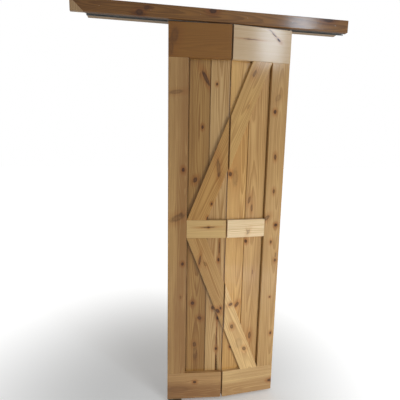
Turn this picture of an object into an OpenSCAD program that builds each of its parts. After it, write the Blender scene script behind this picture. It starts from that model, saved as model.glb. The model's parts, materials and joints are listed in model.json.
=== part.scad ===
// Bifold barn door: two plank leaves with a K brace, hinged at the back of the seam,
// turning on a pivot at the left and guided by a wheel in an overhead track.
// Millimetres. X runs along the opening, Y into it, Z up.
// The origin is on the pivot axis at the underside of the floor bracket.

/* [Leaves] */
// Width of each leaf
leaf_w = 305; // [250:1:450]
// Height of each leaf
leaf_h = 2007; // [1600:1:2450]
// Space under the leaves
floor_gap = 15; // [14:1:30]
// Space between the leaves when they are closed
seam_gap = 2; // [2:0.5:5]
// Angle that each leaf is folded by, as drawn
rest_fold = 4.3; // [0:0.1:10]

/* [Boards] */
// Thickness of the planks behind
plank_t = 19; // [16:1:25]
// Thickness of the boards on the face
face_t = 19; // [12:1:25]
// Distance from one plank joint to the next
plank_pitch = 105.5; // [85:0.5:130]
// Width of the shadow gap at a plank joint
plank_gap = 4.5; // [1:0.5:5]
// Length of a plank's tongue beyond its shoulder
tongue_len = 6; // [4:0.5:8]
// Thickness of a plank's tongue
tongue_t = 6; // [4:0.5:8]
// Width of the left leaf's stile
left_stile_w = 98; // [70:1:120]
// Width of the right leaf's stile
right_stile_w = 95; // [70:1:120]
// Height of the top rails
top_rail_h = 159; // [90:1:220]
// Height of the middle rails
mid_rail_h = 97; // [70:1:140]
// Distance of the middle rails' centre line below the middle of the leaf
mid_rail_drop = 5; // [0:1:60]
// Height of the bottom rails
bottom_rail_h = 160; // [90:1:220]
// Width of the diagonal braces
brace_w = 98; // [70:1:110]
// Chamfer on the long front edges of the face boards
board_ease = 2.5; // [0.5:0.5:3]

/* [Head] */
// Distance from the pivot axis to the left end of the head
head_left = 407; // [300:1:600]
// Distance from the pivot axis to the right end of the head
head_right = 885; // [860:1:1200]
// Height of the header casing
casing_h = 58; // [45:1:90]
// Thickness of the header casing
casing_t = 17; // [12:1:22]
// Radius on the front edges of the casing
casing_round = 3; // [1:0.5:5]
// Space between the top of the leaves and the casing
casing_gap = 7; // [6:0.5:12]
// Depth of the head jamb
jamb_d = 116; // [90:1:150]
// Thickness of the head jamb
jamb_t = 18; // [15:1:25]
// Radius of the fixing holes in the head jamb
jamb_hole_r = 3; // [2:0.5:4]
// Distance between the fixing holes in the head jamb
jamb_hole_pitch = 380; // [200:5:400]

/* [Track] */
// Outer width of the track
track_w = 24; // [20:0.5:30]
// Outer height of the track
track_h = 22; // [20:0.5:30]
// Thickness of the track's steel
track_wall = 1.5; // [1:0.1:2]
// Space between the top of the leaves and the track
track_gap = 5; // [5:0.5:8]
// Play of the guide wheel at each side of the track
wheel_play = 0.75; // [0.4:0.05:1.5]
// Height of the guide wheel
wheel_h = 8; // [6:0.5:9]
// Length of the bracket in the track that holds the top pivot
pivot_block_len = 60; // [40:1:80]
// Length of the rubber stop in the track
bumper_len = 30; // [20:1:50]

/* [Pivots] */
// Distance from a leaf's outer edge to its pivot or guide pin
pivot_inset = 25; // [20:1:40]
// Outer radius of the bushings set into the leaves
bushing_r = 7; // [6:0.5:9]
// Length of the bushings
bushing_len = 60; // [50:1:80]
// Thickness of the bushings' ends
bushing_end = 4; // [3:0.5:6]
// Radius of the sprung pins
pin_r = 4; // [3:0.1:5]
// Radius of the guide pin where it carries the wheel
wheel_pin_r = 3; // [2:0.5:3.5]
// Wall of the bushings that hold a spring
bushing_wall = 0.95; // [0.8:0.05:1.2]
// Radial play of a sprung pin's collar in its bushing
collar_play = 0.25; // [0.1:0.05:0.4]
// Thickness of the collar on a sprung pin
collar_t = 4; // [3:0.5:6]
// Radius of the bottom pivot pin
bottom_pin_r = 5; // [4:0.5:5.5]
// Thickness of the floor bracket's plate
floor_plate_t = 3; // [2:0.5:4]
// Radius of the floor bracket's fixing holes
floor_hole_r = 2.75; // [2:0.25:3.5]
// Radial play of a turning or sliding fit
play = 0.05; // [0.03:0.01:0.1]

/* [Hinges] */
// Height of a hinge
hinge_h = 76; // [60:1:100]
// Width of one hinge plate
hinge_plate_w = 25; // [20:1:32]
// Thickness of a hinge plate
hinge_plate_t = 2.5; // [1.5:0.5:3]
// Outer radius of the hinge knuckles
knuckle_r = 5; // [4:0.1:7]
// Space between the hinge knuckles and the back of the leaves
knuckle_clear = 1; // [0.8:0.1:3]
// Radius of a hinge pin
hinge_pin_r = 2.5; // [1.5:0.5:3]
// Distance from the top of the leaves down to the middle of the top hinge
upper_hinge_drop = 207; // [60:1:400]
// Distance from the bottom of the leaves up to the middle of the bottom hinge
lower_hinge_rise = 230; // [60:1:400]

/* [Hidden] */
$fn = 48;

// Overshoot of a cut beyond the face that it opens
cut = 1;

// Leaf, in its own frame: x from its left edge, y back from its face, z up from its bottom
leaf_t = face_t + plank_t;
mid_rail_z = (leaf_h - mid_rail_h) / 2 - mid_rail_drop;
top_rail_z = leaf_h - top_rail_h;
leaf_axis_y = leaf_t / 2;
knuckle_off = knuckle_r + knuckle_clear;
hinge_axis_y = leaf_t + knuckle_off;
guide_x = leaf_w - pivot_inset;

// Tongue and groove
tongue_y = face_t + (plank_t - tongue_t) / 2;
tongue_play = 0.2;

// Braces: each one's two edges run from corner to corner of the panel that it crosses
panel_w = 2 * leaf_w + seam_gap - left_stile_w - right_stile_w;
upper_panel_h = top_rail_z - mid_rail_z - mid_rail_h;
lower_panel_h = mid_rail_z - bottom_rail_h;
function brace_angle(h) = atan2(h, panel_w) + asin(brace_w / norm([h, panel_w]));

// Where the hinge axis lies, from the pivot axis, as drawn
hinge_dx = leaf_w + seam_gap / 2 - pivot_inset;
hinge_dy = hinge_axis_y - leaf_axis_y;
hinge_x = hinge_dx * cos(rest_fold) + hinge_dy * sin(rest_fold);
hinge_y = hinge_dy * cos(rest_fold) - hinge_dx * sin(rest_fold);

// Head
leaf_top = floor_gap + leaf_h;
casing_z = leaf_top + casing_gap;
track_z = leaf_top + track_gap;
jamb_z = track_z + track_h;
web_z = jamb_z - track_wall;
track_in = track_w - 2 * track_wall;
wheel_r = track_in / 2 - wheel_play;
head_front = -track_w / 2;
head_len = head_left + head_right;
track_end_gap = 7;
jamb_hole_inset = 30;
jamb_hole_y = head_front + jamb_d - jamb_hole_inset;
jamb_hole_mid = (head_right - head_left) / 2;
jamb_holes = [for (i = [-1.5:1:1.5]) jamb_hole_mid + i * jamb_hole_pitch];

// Fixings in the head
block_play = 0.2;
block_w = track_in - 2 * block_play;
block_lift = 4;
block_z = track_z + block_lift;
block_h = web_z - block_z;
clamp_r = 2.5;
clamp_head_r = 4.5;
clamp_head_h = 3;
clamp_inset = 10;
pivot_clamp_x = -pivot_block_len / 2 + clamp_inset;
wheel_stop_gap = 1.5;
wheel_reach = 2 * norm([hinge_dx, hinge_dy]) + wheel_r;
bumper_x = wheel_reach + wheel_stop_gap;
track_screw_r = 1.9;
track_screw_head_r = 4;
track_screw_head_h = 2.5;
track_screw_len = 14;
track_screw_end = 45;
track_screw_xs = [for (i = [0:4]) -head_left + track_screw_end
                  + i * (head_len - 2 * track_screw_end) / 4];
nail_r = 0.9;
nail_len = 38;
nail_sink = 0.5;
nail_end = 70;
nail_xs = [for (i = [0:5]) -head_left + nail_end + i * (head_len - 2 * nail_end) / 5];
nail_z = jamb_z + jamb_t / 2;

// Sprung pins and their bushings, in z above the bottom of a leaf
bushing_z = leaf_h - bushing_len;
bushing_in_r = bushing_r - bushing_wall;
collar_r = bushing_in_r - collar_play;
collar_top = leaf_h - bushing_end;
pin_reach = 10;
pin_top = block_z + pin_reach - floor_gap;
wheel_lift = 2;
wheel_z = leaf_h + track_gap + wheel_lift;
shoulder_gap = 0.3;
rivet_r = 4.5;
rivet_h = 1.7;
spring_wire_r = 0.6;
spring_r = bushing_in_r - spring_wire_r - 0.4;
spring_turns = 7;
spring_steps = 12;
spring_sides = 6;
spring_seat = spring_wire_r + 0.1;
spring_z = bushing_z + bushing_end + spring_seat;
spring_len = collar_top - collar_t - bushing_z - bushing_end - 2 * spring_seat;

// Bottom pivot
socket_r = 10;
socket_h = 9;
hex_r = 7;
hex_h = 8;
hex_play = 0.1;
nut_r = 8.5;
nut_gap = 0.3;
nut_h = 2.4;
nut_z = floor_gap - nut_gap - nut_h;
bottom_bore_h = 40;
bottom_pin_clear = 1;
bottom_pin_top = floor_gap + bottom_bore_h - bottom_pin_clear;
floor_plate_left = 20;
floor_plate_right = 55;
floor_plate_d = 40;
floor_hole_x = 42;
floor_hole_pitch = 22;

// Hinges
knuckle_gap = 0.3;
knuckle_count = 5;
knuckle_h = hinge_h / knuckle_count;
pin_head_r = 3.6;
pin_head_h = 2;
hinge_screw_r = 2;
hinge_screw_head_r = 3.8;
hinge_screw_len = 15;
hinge_screw_pitch = 26;
hinge_screw_inset = 11;
upper_hinge_z = leaf_h - upper_hinge_drop;
middle_hinge_z = leaf_h / 2;
lower_hinge_z = lower_hinge_rise;
hinge_zs = [upper_hinge_z, middle_hinge_z, lower_hinge_z];

wood = "#b98a52";
wood_light = "#d9b88a";
wood_dark = "#8a6236";
steel = "#a9a9a6";
zinc = "#c9c8c0";
nylon = "#efece2";
rubber = "#2b2b2b";

// ---- Placing ----

module in_left_leaf() {
    rotate([0, 0, -rest_fold])
        translate([-pivot_inset, -leaf_axis_y, floor_gap])
            children();
}

module in_right_leaf() {
    translate([hinge_x, hinge_y, 0])
        rotate([0, 0, rest_fold])
            translate([seam_gap / 2, -hinge_axis_y, floor_gap])
                children();
}

// ---- Boards ----

// Section of a face board, w wide, with its two front edges eased
module face_section(w) {
    polygon([
        [0, face_t], [0, board_ease], [board_ease, 0],
        [w - board_ease, 0], [w, board_ease], [w, face_t]
    ]);
}

// Face board that stands from z, h tall
module upright_board(x, z, w, h) {
    translate([x, 0, z])
        linear_extrude(h)
            face_section(w);
}

// Face board that lies along x, h tall
module level_board(x, z, len, h) {
    translate([x, 0, z + h])
        rotate([0, 90, 0])
            linear_extrude(len)
                face_section(h);
}

// Plank section, with a groove on its left and a tongue on its right where asked
module plank_section(w, groove, tongue) {
    difference() {
        square([w, plank_t]);
        if (tongue)
            translate([w - plank_gap, -cut])
                square([plank_gap + cut, tongue_y - face_t + cut]);
        if (groove)
            translate([-cut, tongue_y - face_t - tongue_play])
                square([tongue_len + tongue_play + cut, tongue_t + 2 * tongue_play]);
    }
    if (tongue)
        translate([w - plank_gap, tongue_y - face_t])
            square([plank_gap + tongue_len, tongue_t]);
}

module plank(x, w, groove, tongue) {
    translate([x, face_t, 0])
        linear_extrude(leaf_h)
            plank_section(w, groove, tongue);
}

module outer_left_plank() {
    plank(0, plank_pitch, false, true);
}

module centre_plank() {
    plank(plank_pitch, plank_pitch, true, true);
}

module last_plank() {
    plank(2 * plank_pitch, leaf_w - 2 * plank_pitch, true, false);
}

// Hole for a bushing, down from the top of a leaf or up from its bottom
module bushing_hole(x, z) {
    translate([x, leaf_axis_y, z])
        cylinder(r = bushing_r + play, h = bushing_len + cut);
}

module top_bushing_hole(x) {
    bushing_hole(x, bushing_z);
}

module bottom_bushing_hole(x) {
    bushing_hole(x, -cut);
}

// Holes that the hinge screws fill in the planks
module hinge_screw_holes(x) {
    for (z = hinge_zs, i = [-1:1])
        translate([x, hinge_axis_y, z + i * hinge_screw_pitch])
            rotate([90, 0, 0])
                cylinder(r = hinge_screw_r + play, h = knuckle_off + hinge_screw_len);
}

// One brace as a whole board. It starts at the panel's lower left corner.
module brace_board(h) {
    angle = brace_angle(h);
    run = norm([h, panel_w]);
    rotate([0, 90 - angle, 0])
        translate([0, 0, -brace_w])
            linear_extrude(run + 2 * brace_w)
                face_section(brace_w);
}

module upper_brace() {
    translate([left_stile_w, 0, mid_rail_z + mid_rail_h])
        brace_board(upper_panel_h);
}

module lower_brace() {
    translate([left_stile_w, 0, mid_rail_z])
        mirror([0, 0, 1])
            brace_board(lower_panel_h);
}

// What a panel leaves of its brace, on a leaf
module left_panel(z, h) {
    translate([left_stile_w, 0, z])
        cube([leaf_w - left_stile_w, face_t, h]);
}

module right_panel(z, h) {
    translate([0, 0, z])
        cube([leaf_w - right_stile_w, face_t, h]);
}

module on_right_leaf() {
    translate([-leaf_w - seam_gap, 0, 0])
        children();
}

module left_outer_plank() {
    color(wood) in_left_leaf() difference() {
        outer_left_plank();
        top_bushing_hole(pivot_inset);
        bottom_bushing_hole(pivot_inset);
    }
}

module left_middle_plank() {
    color(wood) in_left_leaf() centre_plank();
}

module left_inner_plank() {
    color(wood) in_left_leaf() difference() {
        last_plank();
        hinge_screw_holes(leaf_w - hinge_screw_inset);
    }
}

module left_stile() {
    color(wood) in_left_leaf()
        upright_board(0, bottom_rail_h, left_stile_w, top_rail_z - bottom_rail_h);
}

module left_top_rail() {
    color(wood) in_left_leaf() difference() {
        level_board(0, top_rail_z, leaf_w, top_rail_h);
        top_bushing_hole(pivot_inset);
    }
}

module left_mid_rail() {
    color(wood) in_left_leaf()
        level_board(left_stile_w, mid_rail_z, leaf_w - left_stile_w, mid_rail_h);
}

module left_bottom_rail() {
    color(wood) in_left_leaf() difference() {
        level_board(0, 0, leaf_w, bottom_rail_h);
        bottom_bushing_hole(pivot_inset);
    }
}

module left_upper_brace() {
    color(wood) in_left_leaf() intersection() {
        upper_brace();
        left_panel(mid_rail_z + mid_rail_h, upper_panel_h);
    }
}

module left_lower_brace() {
    color(wood) in_left_leaf() intersection() {
        lower_brace();
        left_panel(bottom_rail_h, lower_panel_h);
    }
}

module right_inner_plank() {
    color(wood) in_right_leaf() difference() {
        outer_left_plank();
        hinge_screw_holes(hinge_screw_inset);
    }
}

module right_middle_plank() {
    color(wood) in_right_leaf() centre_plank();
}

module right_outer_plank() {
    color(wood) in_right_leaf() difference() {
        last_plank();
        top_bushing_hole(guide_x);
    }
}

module right_stile() {
    color(wood) in_right_leaf()
        upright_board(leaf_w - right_stile_w, bottom_rail_h, right_stile_w,
                      top_rail_z - bottom_rail_h);
}

module right_top_rail() {
    color(wood_light) in_right_leaf() difference() {
        level_board(0, top_rail_z, leaf_w, top_rail_h);
        top_bushing_hole(guide_x);
    }
}

module right_mid_rail() {
    color(wood_light) in_right_leaf()
        level_board(0, mid_rail_z, leaf_w - right_stile_w, mid_rail_h);
}

module right_bottom_rail() {
    color(wood) in_right_leaf()
        level_board(0, 0, leaf_w, bottom_rail_h);
}

module right_upper_brace() {
    color(wood) in_right_leaf() intersection() {
        on_right_leaf() upper_brace();
        right_panel(mid_rail_z + mid_rail_h, upper_panel_h);
    }
}

module right_lower_brace() {
    color(wood) in_right_leaf() intersection() {
        on_right_leaf() lower_brace();
        right_panel(bottom_rail_h, lower_panel_h);
    }
}

// ---- Head ----

module track_screw_at(x) {
    translate([x, 0, web_z - track_screw_head_h]) {
        cylinder(r = track_screw_head_r, h = track_screw_head_h);
        cylinder(r = track_screw_r, h = track_screw_head_h + track_screw_len);
    }
}

module nail_at(x) {
    translate([x, head_front - casing_t + nail_sink, nail_z])
        rotate([-90, 0, 0])
            cylinder(r = nail_r, h = nail_len);
}

module nail_hole_at(x) {
    translate([x, head_front - casing_t - cut, nail_z])
        rotate([-90, 0, 0])
            cylinder(r = nail_r + play, h = nail_len + nail_sink + cut);
}

// Casing section, casing_h wide and casing_t deep, with its two front edges rounded
module casing_section() {
    translate([0, casing_round])
        square([casing_h, casing_t - casing_round]);
    translate([casing_round, 0])
        square([casing_h - 2 * casing_round, casing_round]);
    for (x = [casing_round, casing_h - casing_round])
        translate([x, casing_round])
            circle(r = casing_round);
}

// Outer corner of the casing at its mitre, seen from the front as a right triangle
module mitre_wedge() {
    translate([0, casing_t + cut, 0])
        rotate([90, 0, 0])
            linear_extrude(casing_t + 2 * cut)
                polygon([[-cut, -cut], [casing_h + cut, -cut], [-cut, casing_h + cut]]);
}

module at_mitre() {
    translate([-head_left - casing_h, head_front - casing_t, casing_z])
        children();
}

module head_jamb() {
    color(wood_dark) difference() {
        translate([-head_left, head_front, jamb_z])
            cube([head_len, jamb_d, jamb_t]);
        for (x = jamb_holes)
            translate([x, jamb_hole_y, jamb_z - cut])
                cylinder(r = jamb_hole_r, h = jamb_t + 2 * cut);
        for (x = track_screw_xs)
            translate([x, 0, jamb_z - cut])
                cylinder(r = track_screw_r + play, h = track_screw_len + cut);
        for (x = nail_xs)
            nail_hole_at(x);
    }
}

module header_casing() {
    color(wood_dark) difference() {
        at_mitre()
            translate([0, 0, casing_h])
                rotate([0, 90, 0])
                    linear_extrude(head_len + casing_h)
                        casing_section();
        at_mitre()
            mitre_wedge();
        for (x = nail_xs)
            nail_hole_at(x);
    }
}

module side_casing() {
    color(wood_light) at_mitre() intersection() {
        linear_extrude(casing_h)
            casing_section();
        mitre_wedge();
    }
}

module casing_nails() {
    color(steel)
        for (x = nail_xs)
            nail_at(x);
}

module track() {
    color(steel) difference() {
        translate([-head_left + track_end_gap, -track_w / 2, track_z])
            cube([head_len - track_end_gap, track_w, track_h]);
        translate([-head_left, -track_in / 2, track_z - cut])
            cube([head_len + cut, track_in, web_z - track_z + cut]);
        for (x = track_screw_xs)
            translate([x, 0, web_z - cut])
                cylinder(r = track_screw_r + play, h = track_wall + 2 * cut);
    }
}

module track_screws() {
    color(zinc)
        for (x = track_screw_xs)
            track_screw_at(x);
}

// Block that fills the track's width, with a hole for its clamping screw
module track_block(x, len, screw_x) {
    difference() {
        translate([x, -block_w / 2, block_z])
            cube([len, block_w, block_h]);
        translate([screw_x, 0, block_z - cut])
            cylinder(r = clamp_r + play, h = block_h + 2 * cut);
    }
}

// Screw that turns up through a block until it presses on the track's web
module clamp_screw(x) {
    translate([x, 0, block_z - clamp_head_h])
        cylinder(r = clamp_head_r, h = clamp_head_h, $fn = 6);
    translate([x, 0, block_z - clamp_head_h])
        cylinder(r = clamp_r, h = clamp_head_h + block_h);
}

module pivot_block() {
    color(zinc) difference() {
        track_block(-pivot_block_len / 2, pivot_block_len, pivot_clamp_x);
        translate([0, 0, block_z - cut])
            cylinder(r = pin_r + play, h = block_h + 2 * cut);
    }
}

module pivot_clamp_screw() {
    color(zinc) clamp_screw(pivot_clamp_x);
}

module bumper() {
    color(rubber)
        track_block(bumper_x, bumper_len, bumper_x + bumper_len / 2);
}

module bumper_clamp_screw() {
    color(zinc) clamp_screw(bumper_x + bumper_len / 2);
}

// ---- Bottom pivot ----

module floor_bracket() {
    color(steel) difference() {
        union() {
            translate([-floor_plate_left, -floor_plate_d / 2, 0])
                cube([floor_plate_left + floor_plate_right, floor_plate_d, floor_plate_t]);
            cylinder(r = socket_r, h = floor_plate_t + socket_h);
        }
        translate([0, 0, floor_plate_t])
            cylinder(r = hex_r + hex_play, h = socket_h + cut, $fn = 6);
        for (s = [-1, 1])
            translate([floor_hole_x, s * floor_hole_pitch / 2, -cut])
                cylinder(r = floor_hole_r, h = floor_plate_t + 2 * cut);
    }
}

module bottom_pivot_pin() {
    color(zinc) union() {
        translate([0, 0, floor_plate_t])
            cylinder(r = hex_r, h = hex_h, $fn = 6);
        translate([0, 0, floor_plate_t])
            cylinder(r = bottom_pin_r, h = bottom_pin_top - floor_plate_t);
    }
}

module height_nut() {
    color(zinc) difference() {
        translate([0, 0, nut_z])
            cylinder(r = nut_r, h = nut_h, $fn = 6);
        translate([0, 0, nut_z - cut])
            cylinder(r = bottom_pin_r + play, h = nut_h + 2 * cut);
    }
}

module bottom_pivot_bushing() {
    color(nylon) in_left_leaf()
        translate([pivot_inset, leaf_axis_y, 0])
            difference() {
                cylinder(r = bushing_r, h = bushing_len);
                translate([0, 0, -cut])
                    cylinder(r = bottom_pin_r + play, h = bottom_bore_h + cut);
            }
}

// ---- Sprung pins ----

module sprung_bushing() {
    translate([0, 0, bushing_z])
        difference() {
            cylinder(r = bushing_r, h = bushing_len);
            translate([0, 0, bushing_end])
                cylinder(r = bushing_in_r, h = bushing_len - 2 * bushing_end);
            translate([0, 0, bushing_len - bushing_end - cut])
                cylinder(r = pin_r + play, h = bushing_end + 2 * cut);
        }
}

// Wire swept along a helix
module spring_coil() {
    steps = spring_turns * spring_steps;
    turn = 360 / spring_steps;
    side = 360 / spring_sides;
    rings = [for (i = [0:steps], j = [0:spring_sides - 1])
        let (r = spring_r + spring_wire_r * cos(j * side))
        [r * cos(i * turn), r * sin(i * turn),
         spring_len * i / steps + spring_wire_r * sin(j * side)]];
    walls = [for (i = [0:steps - 1], j = [0:spring_sides - 1])
        let (k = (j + 1) % spring_sides, a = i * spring_sides, b = a + spring_sides)
        [a + j, b + j, b + k, a + k]];
    start = [for (j = [0:spring_sides - 1]) j];
    end = [for (j = [0:spring_sides - 1]) steps * spring_sides + spring_sides - 1 - j];
    translate([0, 0, spring_z])
        polyhedron(points = rings, faces = concat(walls, [start, end]));
}

// Collar and shaft of a sprung pin, up to a height above the bottom of the leaf
module sprung_shaft(top) {
    translate([0, 0, collar_top - collar_t])
        cylinder(r = collar_r, h = collar_t);
    translate([0, 0, collar_top - collar_t])
        cylinder(r = pin_r, h = top - collar_top + collar_t);
}

module at_top_pivot() {
    in_left_leaf()
        translate([pivot_inset, leaf_axis_y, 0])
            children();
}

module at_guide() {
    in_right_leaf()
        translate([guide_x, leaf_axis_y, 0])
            children();
}

module top_pivot_bushing() {
    color(nylon) at_top_pivot() sprung_bushing();
}

module top_pivot_spring() {
    color(steel) at_top_pivot() spring_coil();
}

module top_pivot_pin() {
    color(zinc) at_top_pivot() sprung_shaft(pin_top);
}

module guide_bushing() {
    color(nylon) at_guide() sprung_bushing();
}

module guide_spring() {
    color(steel) at_guide() spring_coil();
}

module guide_pin() {
    wheel_top = wheel_z + wheel_h + shoulder_gap;
    color(zinc) at_guide() union() {
        sprung_shaft(wheel_z - shoulder_gap);
        translate([0, 0, collar_top])
            cylinder(r = wheel_pin_r, h = wheel_top - collar_top);
        translate([0, 0, wheel_top])
            cylinder(r = rivet_r, h = rivet_h);
    }
}

module guide_wheel() {
    color(nylon) at_guide() translate([0, 0, wheel_z])
        difference() {
            cylinder(r = wheel_r, h = wheel_h);
            translate([0, 0, -cut])
                cylinder(r = wheel_pin_r + play, h = wheel_h + 2 * cut);
        }
}

// ---- Hinges ----

// Knuckle i of a hinge, counted up from its bottom, on the axis
module knuckle(i, r) {
    translate([0, 0, i * knuckle_h - hinge_h / 2 + knuckle_gap / 2])
        cylinder(r = r, h = knuckle_h - knuckle_gap);
}

// One hinge plate about its axis. It reaches towards -x, flat on the back of the leaf.
module hinge_plate(own, other) {
    difference() {
        union() {
            translate([-hinge_plate_w, -knuckle_off, -hinge_h / 2])
                cube([hinge_plate_w, hinge_plate_t, hinge_h]);
            for (i = own)
                knuckle(i, knuckle_r);
        }
        translate([0, 0, -hinge_h / 2 - cut])
            cylinder(r = hinge_pin_r + play, h = hinge_h + 2 * cut);
        for (i = other)
            translate([-knuckle_r - knuckle_gap, -knuckle_off - cut, i * knuckle_h - hinge_h / 2])
                cube([2 * knuckle_r, 2 * knuckle_off, knuckle_h]);
        for (i = [-1:1])
            translate([-hinge_screw_inset - seam_gap / 2, 0, i * hinge_screw_pitch])
                hinge_screw(play);
    }
}

// Countersunk screw that enters the leaf towards -y, grown by extra
module hinge_screw(extra) {
    translate([0, -knuckle_off + hinge_plate_t, 0])
        rotate([90, 0, 0]) {
            cylinder(r1 = hinge_screw_head_r + extra, r2 = hinge_screw_r + extra,
                     h = hinge_plate_t);
            cylinder(r = hinge_screw_r + extra, h = hinge_plate_t + hinge_screw_len - play);
        }
}

module at_left_hinge(z) {
    in_left_leaf()
        translate([leaf_w + seam_gap / 2, hinge_axis_y, z])
            children();
}

module at_right_hinge(z) {
    in_right_leaf()
        translate([-seam_gap / 2, hinge_axis_y, z])
            mirror([1, 0, 0])
                children();
}

module left_hinge_plate(z) {
    color(steel) at_left_hinge(z)
        hinge_plate([0, 2, 4], [1, 3]);
}

module right_hinge_plate(z) {
    color(steel) at_right_hinge(z)
        hinge_plate([1, 3], [0, 2, 4]);
}

module hinge_pin(z) {
    color(zinc) at_left_hinge(z) {
        translate([0, 0, -hinge_h / 2])
            cylinder(r = hinge_pin_r, h = hinge_h);
        for (s = [-1, 1])
            translate([0, 0, s * (hinge_h / 2 + pin_head_h / 2) - pin_head_h / 2])
                cylinder(r = pin_head_r, h = pin_head_h);
    }
}

module hinge_screw_set() {
    for (i = [-1:1])
        translate([-hinge_screw_inset - seam_gap / 2, 0, i * hinge_screw_pitch])
            hinge_screw(0);
}

module left_hinge_screws() {
    color(zinc)
        for (z = hinge_zs)
            at_left_hinge(z)
                hinge_screw_set();
}

module right_hinge_screws() {
    color(zinc)
        for (z = hinge_zs)
            at_right_hinge(z)
                hinge_screw_set();
}

head_jamb();
header_casing();
side_casing();
casing_nails();
track();
track_screws();
pivot_block();
pivot_clamp_screw();
bumper();
bumper_clamp_screw();
floor_bracket();
bottom_pivot_pin();
height_nut();
left_outer_plank();
left_middle_plank();
left_inner_plank();
left_stile();
left_top_rail();
left_mid_rail();
left_bottom_rail();
left_upper_brace();
left_lower_brace();
top_pivot_bushing();
top_pivot_spring();
top_pivot_pin();
bottom_pivot_bushing();
right_inner_plank();
right_middle_plank();
right_outer_plank();
right_stile();
right_top_rail();
right_mid_rail();
right_bottom_rail();
right_upper_brace();
right_lower_brace();
guide_bushing();
guide_spring();
guide_pin();
guide_wheel();
left_hinge_plate(upper_hinge_z);  // upper_hinge_left_plate
right_hinge_plate(upper_hinge_z);  // upper_hinge_right_plate
hinge_pin(upper_hinge_z);  // upper_hinge_pin
left_hinge_plate(middle_hinge_z);  // middle_hinge_left_plate
right_hinge_plate(middle_hinge_z);  // middle_hinge_right_plate
hinge_pin(middle_hinge_z);  // middle_hinge_pin
left_hinge_plate(lower_hinge_z);  // lower_hinge_left_plate
right_hinge_plate(lower_hinge_z);  // lower_hinge_right_plate
hinge_pin(lower_hinge_z);  // lower_hinge_pin
left_hinge_screws();
right_hinge_screws();
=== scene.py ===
import json
import math

import bmesh
import bpy
from mathutils import Matrix, Vector


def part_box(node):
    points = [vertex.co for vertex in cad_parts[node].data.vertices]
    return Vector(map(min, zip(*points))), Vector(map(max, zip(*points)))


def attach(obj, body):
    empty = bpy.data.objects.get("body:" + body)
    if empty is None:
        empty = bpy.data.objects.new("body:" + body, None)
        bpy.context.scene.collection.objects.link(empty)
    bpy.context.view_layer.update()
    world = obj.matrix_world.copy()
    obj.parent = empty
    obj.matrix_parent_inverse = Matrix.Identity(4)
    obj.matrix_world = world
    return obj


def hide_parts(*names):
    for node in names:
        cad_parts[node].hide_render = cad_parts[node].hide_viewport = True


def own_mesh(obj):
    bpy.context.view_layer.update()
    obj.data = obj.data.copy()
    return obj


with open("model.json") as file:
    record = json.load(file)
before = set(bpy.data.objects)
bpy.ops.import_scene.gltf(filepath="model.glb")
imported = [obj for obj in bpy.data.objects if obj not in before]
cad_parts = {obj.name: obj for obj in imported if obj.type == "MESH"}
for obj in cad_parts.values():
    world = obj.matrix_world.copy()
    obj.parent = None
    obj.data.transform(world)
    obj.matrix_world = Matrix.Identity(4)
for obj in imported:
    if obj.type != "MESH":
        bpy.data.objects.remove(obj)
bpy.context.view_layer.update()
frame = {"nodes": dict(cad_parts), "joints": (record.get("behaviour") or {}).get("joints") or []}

bpy.ops.object.select_all(action="DESELECT")


# ---- Planks ----
# Three tongue-and-groove planks stand side by side behind the face of each leaf. They are
# knotty softwood, planed and varnished clear, and a shadow gap shows at each joint.

joints = {joint["name"]: joint for joint in frame["joints"]}
fold = math.radians(-joints["leaf_turn"]["range_deg"][0])
seam_axis = Vector(joints["seam_turn"]["pos_m"])
seam_axis.z = 0

leaf_turn = {"left_leaf": -fold, "right_leaf": fold}
leaf_at = {
    "left_leaf": Matrix.Rotation(-fold, 4, "Z"),
    "right_leaf": Matrix.Translation(seam_axis) @ Matrix.Rotation(fold, 4, "Z"),
}


def leaf_box(leaf, *nodes):
    """The lowest and highest corners of some pieces, in the leaf's own directions."""
    unturn = leaf_at[leaf].inverted()
    points = [unturn @ v.co for n in nodes for v in frame["nodes"][n].data.vertices]
    low = Vector([min(p[axis] for p in points) for axis in range(3)])
    high = Vector([max(p[axis] for p in points) for axis in range(3)])
    return low, high


# From here on a leaf's frame starts at the lower left corner of its face: x runs across the
# leaf, y goes back from the face, and z goes up.
for leaf, rails in {
    "left_leaf": ("left_top_rail", "left_bottom_rail"),
    "right_leaf": ("right_top_rail", "right_bottom_rail"),
}.items():
    leaf_at[leaf] = leaf_at[leaf] @ Matrix.Translation(leaf_box(leaf, *rails)[0])


def add_node(tree, kind, sockets=(), **settings):
    """A shader node, with each socket given a value or linked to another node's output."""
    node = tree.nodes.new("ShaderNode" + kind)
    for name, value in settings.items():
        setattr(node, name, value)
    for name, value in dict(sockets).items():
        if isinstance(value, bpy.types.NodeSocket):
            tree.links.new(value, node.inputs[name])
        else:
            node.inputs[name].default_value = value
    return node


def calc(tree, operation, *values):
    """One step of arithmetic in a shader."""
    return add_node(tree, "Math", enumerate(values), operation=operation).outputs[0]


def fade(tree, value, start, end):
    """0 before start and 1 after end, with a soft change between."""
    sockets = {"Value": value, "From Min": start, "From Max": end}
    return add_node(tree, "MapRange", sockets, interpolation_type="SMOOTHSTEP").outputs[0]


def mix_colour(tree, share, first, second, mode="MIX"):
    """The first colour, with that share of the second mixed in."""
    sockets = {0: share, 6: first, 7: second}
    return add_node(tree, "Mix", sockets, data_type="RGBA", blend_type=mode).outputs[2]


def noise(tree, place, scale, number=0.0, detail=2.0):
    """Noise from 0 to 1, stretched by a scale for each direction."""
    stretched = add_node(tree, "VectorMath", {0: place, 1: scale}, operation="MULTIPLY")
    sockets = {"Vector": stretched.outputs[0], "W": number, "Scale": 1.0, "Detail": detail}
    return add_node(tree, "TexNoise", sockets, noise_dimensions="4D")


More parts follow.
